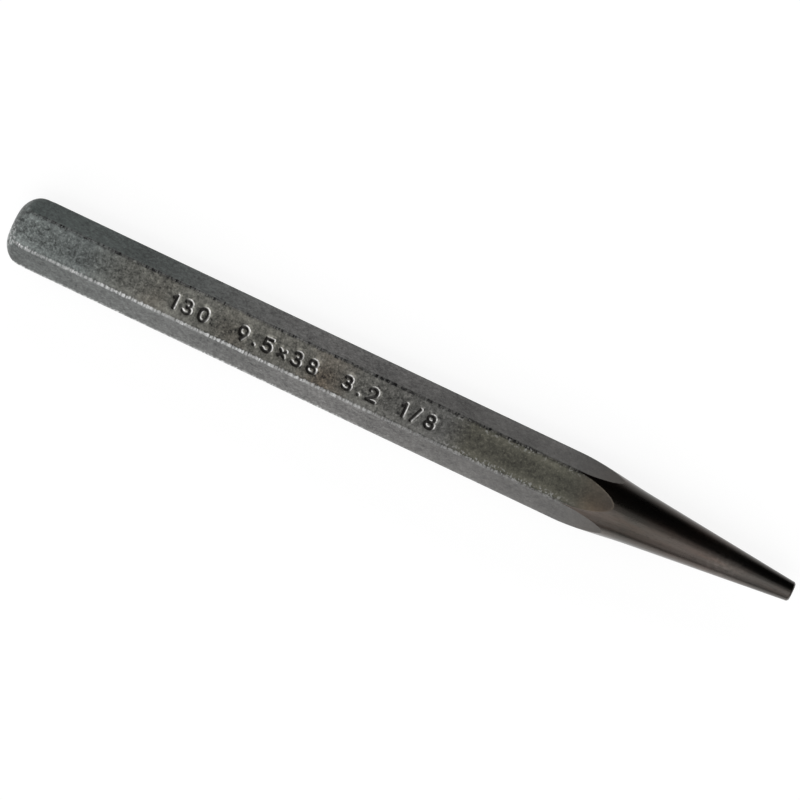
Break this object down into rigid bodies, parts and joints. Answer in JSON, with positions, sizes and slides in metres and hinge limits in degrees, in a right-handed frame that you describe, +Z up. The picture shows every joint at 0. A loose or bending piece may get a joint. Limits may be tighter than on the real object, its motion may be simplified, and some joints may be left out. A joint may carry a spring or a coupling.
{
  "type": "solid taper punch",
  "caption": "Steel hand punch: a hexagonal shank with a rounded head to strike and a long conical point, ground to a small flat tip that starts pins out of their holes",
  "frame": {"origin": "centre of the bounding box in plan, on the flat that the punch rests on", "axes": "+X along the punch from the struck head to the tip, +Z up through two opposite flats of the hexagon, +Y across two opposite ridges"},
  "size_m": [0.1302, 0.011, 0.0095],
  "materials": {
    "blackened_steel": "satin"
  },
  "bodies": {
    "root": {"punch": "blackened_steel"}
  },
  "joints": []
}
